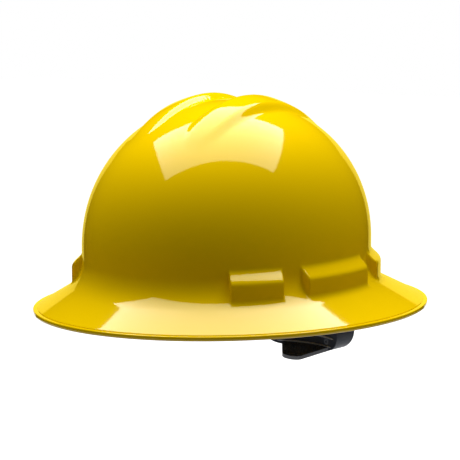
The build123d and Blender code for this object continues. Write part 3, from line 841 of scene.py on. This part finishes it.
def band_point(turn, inset, height):
    wide = pad_face_width - inset
    long = pad_face_reach - inset
    x = wide * np.sin(turn)
    y = pad_centre - long * np.cos(turn)
    return np.stack([x, y, height + 0.0 * turn], -1)


def rounded(away, reach, least):
    # From the least share at an edge up to 1, round a quarter circle, at the distance of reach.
    share = min(1.0, away / reach)
    return least + (1.0 - least) * math.sqrt(1.0 - (1.0 - share) ** 2)


def pad_block():
    # A closed strip with rounded edges: sections go round it, one at each turn.
    middle = (pad_low + pad_high) / 2
    sections = []
    for turn in np.linspace(-pad_turn, pad_turn, pad_sections):
        full = rounded(1.0 - abs(turn) / pad_turn, pad_end_share, pad_end_thickness_share)
        tall = pad_end_height_share + (1.0 - pad_end_height_share) * full
        back = []
        front = []
        for share in pad_marks:
            edge = rounded(min(share, 1.0 - share), pad_edge_share, pad_edge_thickness_share)
            depth = pad_start_thickness * full * edge
            height = middle + (pad_low + (pad_high - pad_low) * share - middle) * tall
            back.append(band_point(turn, pad_stand_off, height))
            front.append(band_point(turn, pad_stand_off + depth, height))
        sections.append(np.array(back + front[::-1]))
    along = measured(np.array([section[0] for section in sections]))
    around = measured(sections[len(sections) // 2])
    return closed_sweep("brow_pad_cloth", sections, along, around)


def pad_places(points):
    # Turn round the headband's face and distance in from it, for points of the pad.
    x = points[:, 0]
    y = pad_centre - points[:, 1]
    turns = np.arctan2(x / pad_face_width, y / pad_face_reach)
    reach = np.hypot(x, y)
    face = band_point(turns, 0.0, 0.0)
    return turns, np.hypot(face[:, 0], pad_centre - face[:, 1]) - reach


def swell(piece):
    # The foam pushes the cloth out: a cloth simulation with pressure, held to a small rise.
    rest = np.array([tuple(v.co) for v in piece.data.vertices])
    cloth = piece.modifiers.new("cloth", "CLOTH")
    cloth.settings.use_pressure = True
    cloth.settings.uniform_pressure_force = cloth_pressure
    cloth.settings.quality = cloth_quality
    cloth.settings.mass = cloth_mass
    cloth.settings.effector_weights.gravity = 0.0
    cloth.collision_settings.use_collision = False
    cloth.point_cache.frame_start = 1
    cloth.point_cache.frame_end = cloth_frames
    for frame_number in range(1, cloth_frames + 1):
        bpy.context.scene.frame_set(frame_number)
    pushed = piece.evaluated_get(bpy.context.evaluated_depsgraph_get())
    shift = np.array([tuple(v.co) for v in pushed.to_mesh().vertices]) - rest
    pushed.to_mesh_clear()
    piece.modifiers.remove(cloth)
    bpy.context.scene.frame_set(1)
    length = np.linalg.norm(shift, axis=1)
    shift *= np.minimum(1.0, pad_swell / np.maximum(length, 1e-9))[:, None]
    return rest + shift


def press_seams(points, rest):
    # Sewn lines pull the cloth in towards the band, and nothing passes the band's face.
    turns, depth = pad_places(points)
    edge = np.minimum(rest[:, 2] - pad_low, pad_high - rest[:, 2])
    gaps = [np.abs(edge - pad_seam_inset)]
    gaps += [np.abs(turns - turn) * pad_face_width for turn in pad_cross_seams]
    pull = np.zeros(len(points))
    for gap in gaps:
        pull = np.maximum(pull, np.exp(-((gap / pad_seam_width) ** 2)))
    depth = np.clip(depth, pad_stand_off, pad_full_thickness)
    sewn_depth = np.maximum(depth - pad_seam_depth * pull, np.minimum(depth, pad_seam_skin))
    depth = np.where(depth > pad_low_skin, sewn_depth, depth)
    face = band_point(turns, 0.0, 0.0)
    inward = np.column_stack([face[:, 0], face[:, 1] - pad_centre])
    reach = np.linalg.norm(inward, axis=1)
    inward *= ((reach - depth) / reach)[:, None]
    return np.column_stack([inward[:, 0], inward[:, 1] + pad_centre, points[:, 2]])


pad_cloth = woven_cloth(
    "black_knitted_cloth",
    pitches=(0.0011, 0.0008),
    deep=(0.012, 0.012, 0.014, 1.0),
    lit=(0.07, 0.07, 0.078, 1.0),
    roughness=(0.95, 0.8),
    depth=0.00025,
    sheen=0.4,
)


def brow_pad_piece():
    pad = pad_block()
    rest = np.array([tuple(v.co) for v in pad.data.vertices])
    points = swell(pad)
    points = press_seams(points, rest)
    pad.data.vertices.foreach_set("co", points.ravel())
    pad.data.update()
    finer = pad.modifiers.new("finer", "SUBSURF")
    finer.levels = 1
    finer.render_levels = 1
    pad.data.materials.append(pad_cloth)
    # The stitches lie in the two long seams, just under the pad's face.
    face = float(np.percentile(pad_places(points)[1], pad_face_percentile))
    depth = face - pad_seam_depth * seam_sink_share
    seam_turn = pad_turn * seam_end_share
    turns = np.linspace(-seam_turn, seam_turn, seam_points)
    heights = (pad_low + pad_seam_inset, pad_high - pad_seam_inset)
    seams = [band_point(turns, depth, height) for height in heights]
    stitches = sewn("brow_pad_stitches", seams, webbing_stitches, seam_stitch)
    for piece in (pad, stitches):
        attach(piece, "harness")
    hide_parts("brow_pad")


brow_pad_piece()

# Nape arms: two curved straps moulded in black nylon, which carry the ratchet. Each swings on a
# slider that runs in a slot of the headband and is held by a snapped cap.

dress(["nape_arm_left", "nape_arm_right"], satin_nylon)
dress(["slider_left", "slider_right", "pivot_cap_left", "pivot_cap_right"], satin_nylon)

# Ratchet housing and nape scoop: the two halves of the housing are moulded in slate nylon and
# screwed together round the racks. The scoop is a polished tongue on the front half.

housing_plastic = moulded_plastic(
    "slate_housing",
    colour=(0.045, 0.052, 0.072, 1.0),
    worn=(0.06, 0.068, 0.09, 1.0),
    roughness=0.4,
    grain_size=0.0005,
    grain_depth=0.000008,
    shine=0.04,
)
dress(["housing_front", "housing_back"], housing_plastic)
scoop_plastic = moulded_plastic(
    "polished_scoop",
    colour=(0.03, 0.035, 0.05, 1.0),
    worn=(0.045, 0.05, 0.07, 1.0),
    roughness=0.28,
    grain_size=0.0005,
    grain_depth=0.000004,
    shine=0.9,
)
dress(["nape_scoop"], scoop_plastic)

# Housing lips: two raised lips moulded along the housing's hollow front face, one above and one
# below its lower screws. They are pale grey all over, a painted highlight for the light their
# crests catch.

face_radius = 0.060
face_middle = 0.041
lip_steps = 48
lip_sides = 10
lip_stand_out = 0.0010
lip_fade_power = 8
lip_end_share = 0.0001
lip_places = {
    "housing_upper_lip": {"half_turn": 0.52, "level": -0.0362, "half_width": 0.0008},
    "housing_lower_lip": {"half_turn": 0.46, "level": -0.0433, "half_width": 0.0007},
}
# Pale grey all over: painted highlight along the lips' crests.
lip_painted_highlight = moulded_plastic(
    "slate_lip_painted_highlight",
    colour=(0.3, 0.31, 0.34, 1.0),
    worn=(0.4, 0.41, 0.44, 1.0),
    roughness=0.3,
    grain_size=0.0005,
    grain_depth=0.000004,
    shine=0.9,
)


def housing_lip(name, half_turn, level, half_width):
    points = []
    for step in range(lip_steps + 1):
        share = 2.0 * step / lip_steps - 1.0
        turn = half_turn * share
        fade = math.sqrt(max(1.0 - share**lip_fade_power, lip_end_share))
        for side in range(lip_sides):
            around = 2.0 * math.pi * side / lip_sides
            reach = face_radius - lip_stand_out * fade * math.cos(around)
            x = reach * math.sin(turn)
            y = face_middle + reach * math.cos(turn)
            points.append((x, y, level + half_width * fade * math.sin(around)))
    faces = []
    for step in range(lip_steps):
        for side in range(lip_sides):
            a = step * lip_sides + side
            b = step * lip_sides + (side + 1) % lip_sides
            faces.append((a, b, b + lip_sides, a + lip_sides))
    faces.append(tuple(range(lip_sides)))
    faces.append(tuple(range(lip_steps * lip_sides, (lip_steps + 1) * lip_sides)))
    lip = mesh_object(name, points, faces)
    outwards(lip)
    lip.data.materials.append(lip_painted_highlight)
    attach(lip, "nape")


for name, place in lip_places.items():
    housing_lip(name, **place)

# Housing and knob screws: pan head steel screws with a black zinc plating. Four join the
# housing's halves and one holds the knob on the pinion's shaft.

plated_dark = (0.045, 0.047, 0.052, 1.0)
plated_lit = (0.07, 0.072, 0.078, 1.0)
plated_roughness = (0.25, 0.4)
plated_skin = {"Grain size": 0.0002, "Drift size": 0.003}


def plated_steel():
    finish, tree, links, shader = new_finish("black_zinc_plated_steel")
    skin = add_group(tree, moulded_skin, plated_skin)
    colour = add_mix(tree, skin.outputs["Drift"], plated_dark, plated_lit)
    rough = add_range(tree, skin.outputs["Grain"], *plated_roughness)
    links.new(colour, shader.inputs["Base Color"])
    links.new(rough, shader.inputs["Roughness"])
    shader.inputs["Metallic"].default_value = 1.0
    return finish


dress([name for name in nodes if "screw" in name], plated_steel())

# Pinion, racks and pawl: moulded in natural acetal. They run inside the housing, the pawl's
# spring arms against its ring of notches.

acetal = moulded_plastic(
    "natural_acetal",
    colour=(0.72, 0.71, 0.66, 1.0),
    worn=(0.78, 0.77, 0.72, 1.0),
    roughness=0.35,
    grain_size=0.0004,
    grain_depth=0.000004,
)
dress(["pinion", "rack_left", "rack_right", "pawl"], acetal)

# Knob: a black grip with a fine texture, moulded with grooves round it for the fingers. A small
# cap covers its screw.

knob_plastic = moulded_plastic(
    "textured_black_knob",
    colour=(0.008, 0.009, 0.013, 1.0),
    worn=(0.013, 0.014, 0.019, 1.0),
    roughness=0.62,
    grain_size=0.0005,
    grain_depth=0.00006,
    shine=0.12,
)
dress(["knob", "knob_cap"], knob_plastic)

# Studio: a pale floor far enough below that its shadow falls out of the picture, a large
# overhead softbox and a white background. Only gloss sees the rest: black drapes all round, but
# for a gap behind the hat, where a glowing yellow card, which is no lamp and is seen only in
# reflections, paints yellow reflections along the hat's edges.

view_turn = math.radians(38.47)
view_rise = math.radians(7.5)
view_distance = 1.5
aim = np.array([0.00102, 0.00081, 0.0566])
frame_pixels = 460
metres_per_pixel = 0.000743
sensor_width = 36.0
to_right = np.array([math.cos(view_turn), math.sin(view_turn), 0.0])
to_camera = np.array([math.sin(view_turn), -math.cos(view_turn), 0.0])
upwards = np.array([0.0, 0.0, 1.0])

floor_level = -0.3
floor_half = 6.0
floor_grey = (0.45, 0.45, 0.45, 1.0)
floor_strength = 2.2


def add_seen(tree):
    # 1 for what the camera sees, straight or in gloss or glass, and 0 for light on the object.
    rays = tree.nodes.new("ShaderNodeLightPath")
    seen = rays.outputs["Is Camera Ray"]
    for name in ("Is Glossy Ray", "Is Transmission Ray"):
        seen = add_math(tree, "MAXIMUM", seen, rays.outputs[name])
    return seen


def floor_finish():
    # Shows as its own light to the camera and in gloss, and is a matt grey for all other light.
    finish, tree, links, shader = new_finish("pale_floor")
    tree.nodes.remove(shader)
    lit = tree.nodes.new("ShaderNodeEmission")
    lit.inputs["Color"].default_value = floor_grey
    links.new(add_range(tree, add_seen(tree), 0.0, floor_strength), lit.inputs["Strength"])
    matt = tree.nodes.new("ShaderNodeBsdfDiffuse")
    matt.inputs["Color"].default_value = floor_grey
    total = tree.nodes.new("ShaderNodeAddShader")
    links.new(lit.outputs[0], total.inputs[0])
    links.new(matt.outputs[0], total.inputs[1])
    links.new(total.outputs[0], tree.nodes["Material Output"].inputs["Surface"])
    return finish


floor_signs = ((-1, -1), (1, -1), (1, 1), (-1, 1))
floor_corners = [(x * floor_half, y * floor_half, floor_level) for x, y in floor_signs]
floor = mesh_object("floor", floor_corners, [(0, 1, 2, 3)])
floor.data.materials.append(floor_finish())

drape_radius = 1.5
drape_top = 2.4
drape_steps = 60
drape_levels = [floor_level, 0.0, 0.2, 0.42, 0.7, 1.0, 1.4]
drape_black = (0.004, 0.004, 0.004, 1.0)
gap_half = math.radians(30)
gap_top = 0.42
roof_rows = 8
roof_eye = 0.001
card_steps = 12
card_low = -0.22
card_glow_colour = (1.0, 0.8, 0.1, 1.0)


def standing_sheet(name, first, last, steps, levels):
    # Part of an upright drum round the hat, between two turns.
    points = []
    for level in levels:
        for turn in np.linspace(first, last, steps + 1):
            points.append((drape_radius * math.sin(turn), -drape_radius * math.cos(turn), level))
    faces = []
    for row in range(len(levels) - 1):
        for i in range(steps):
            a = row * (steps + 1) + i
            faces.append((a, a + 1, a + steps + 2, a + steps + 1))
    return mesh_object(name, points, faces)


def roof_sheet():
    points = []
    for row in range(roof_rows + 1):
        lean = math.pi / 2 * row / roof_rows
        level = gap_top + (drape_top - gap_top) * math.sin(lean)
        reach = drape_radius * math.cos(lean) + roof_eye
        for i in range(drape_steps):
            turn = 2 * math.pi * i / drape_steps
            points.append((reach * math.sin(turn), -reach * math.cos(turn), level))
    faces = []
    for row in range(roof_rows):
        for i in range(drape_steps):
            a = row * drape_steps + i
            b = row * drape_steps + (i + 1) % drape_steps
            faces.append((a, b, b + drape_steps, a + drape_steps))
    return mesh_object("black_roof", points, faces)


def only_in_gloss(piece, finish):
    # Leaves a sheet to reflections alone: the camera, shadows and all other light pass it by.
    piece.data.materials.append(finish)
    piece.visible_camera = False
    piece.visible_diffuse = False
    piece.visible_shadow = False
    piece.visible_transmission = False


drape_cloth, tree, links, shader = new_finish("black_cloth")
shader.inputs["Base Color"].default_value = drape_black
shader.inputs["Roughness"].default_value = 1.0
shader.inputs["Specular IOR Level"].default_value = 0.0
# The card glows yellow and only gloss sees it: painted yellow reflections along the hat's edges.
card_glow, tree, links, shader = new_finish("yellow_card")
shader.inputs["Base Color"].default_value = (0.0, 0.0, 0.0, 1.0)
shader.inputs["Specular IOR Level"].default_value = 0.0
shader.inputs["Emission Color"].default_value = card_glow_colour
shader.inputs["Emission Strength"].default_value = 1.0
back_turn = view_turn + math.pi
gap_start = back_turn - gap_half
gap_end = back_turn + gap_half
drape_end = gap_start + 2 * math.pi
drape = standing_sheet("black_drape", gap_end, drape_end, drape_steps, drape_levels)
card = standing_sheet("yellow_card", gap_start, gap_end, card_steps, [card_low, gap_top])
only_in_gloss(drape, drape_cloth)
only_in_gloss(roof_sheet(), drape_cloth)
only_in_gloss(card, card_glow)

world = bpy.data.worlds.new("studio")
bpy.context.scene.world = world
world.use_nodes = True
tree = world.node_tree
fill_strength = 0.10
strength = add_range(tree, add_seen(tree), fill_strength, 1.0)
tree.links.new(strength, tree.nodes["Background"].inputs["Strength"])
tree.nodes["Background"].inputs["Color"].default_value = (1.0, 1.0, 1.0, 1.0)

softbox_width = 1.63
softbox_depth = 1.215
softbox_centre = 0.015 * to_right - 0.283 * to_camera + 1.139 * upwards
softbox_across = Vector(0.995 * to_right - 0.096 * to_camera - 0.020 * upwards).normalized()
softbox_along = Vector(0.017 * to_right - 1.183 * to_camera + 0.274 * upwards)
softbox_facing = softbox_across.cross(softbox_along).normalized()
softbox_up = softbox_facing.cross(softbox_across)
softbox_radiance = 5.7
softbox_side_falloff = (0.92, 1.08)
softbox_depth_falloff = (0.75, 1.25)
lamp = bpy.data.lights.new("softbox", "AREA")
lamp.shape = "RECTANGLE"
lamp.size = softbox_width
lamp.size_y = softbox_depth
lamp.energy = softbox_radiance * math.pi * softbox_width * softbox_depth
lamp.use_nodes = True
tree = lamp.node_tree
place = tree.nodes.new("ShaderNodeNewGeometry")
split = tree.nodes.new("ShaderNodeSeparateXYZ")
tree.links.new(place.outputs["Parametric"], split.inputs[0])
side_power = add_range(tree, split.outputs["X"], *softbox_side_falloff)
depth_power = add_range(tree, split.outputs["Y"], *softbox_depth_falloff)
power = add_math(tree, "MULTIPLY", side_power, depth_power)
tree.links.new(power, tree.nodes["Emission"].inputs["Strength"])
softbox = bpy.data.objects.new("softbox", lamp)
bpy.context.scene.collection.objects.link(softbox)
turned = Matrix((softbox_across, softbox_up, softbox_facing)).transposed().to_4x4()
softbox.matrix_world = Matrix.Translation(Vector(softbox_centre)) @ turned

camera_data = bpy.data.cameras.new("camera")
camera_data.sensor_width = sensor_width
camera_data.lens = sensor_width * view_distance / (frame_pixels * metres_per_pixel)
camera = bpy.data.objects.new("camera", camera_data)
bpy.context.scene.collection.objects.link(camera)
away = math.cos(view_rise) * to_camera + math.sin(view_rise) * upwards
camera.location = Vector(aim + view_distance * away)
camera.rotation_euler = Vector(away).to_track_quat("Z", "Y").to_euler()
bpy.context.scene.camera = camera
bpy.context.scene.view_settings.view_transform = "Standard"
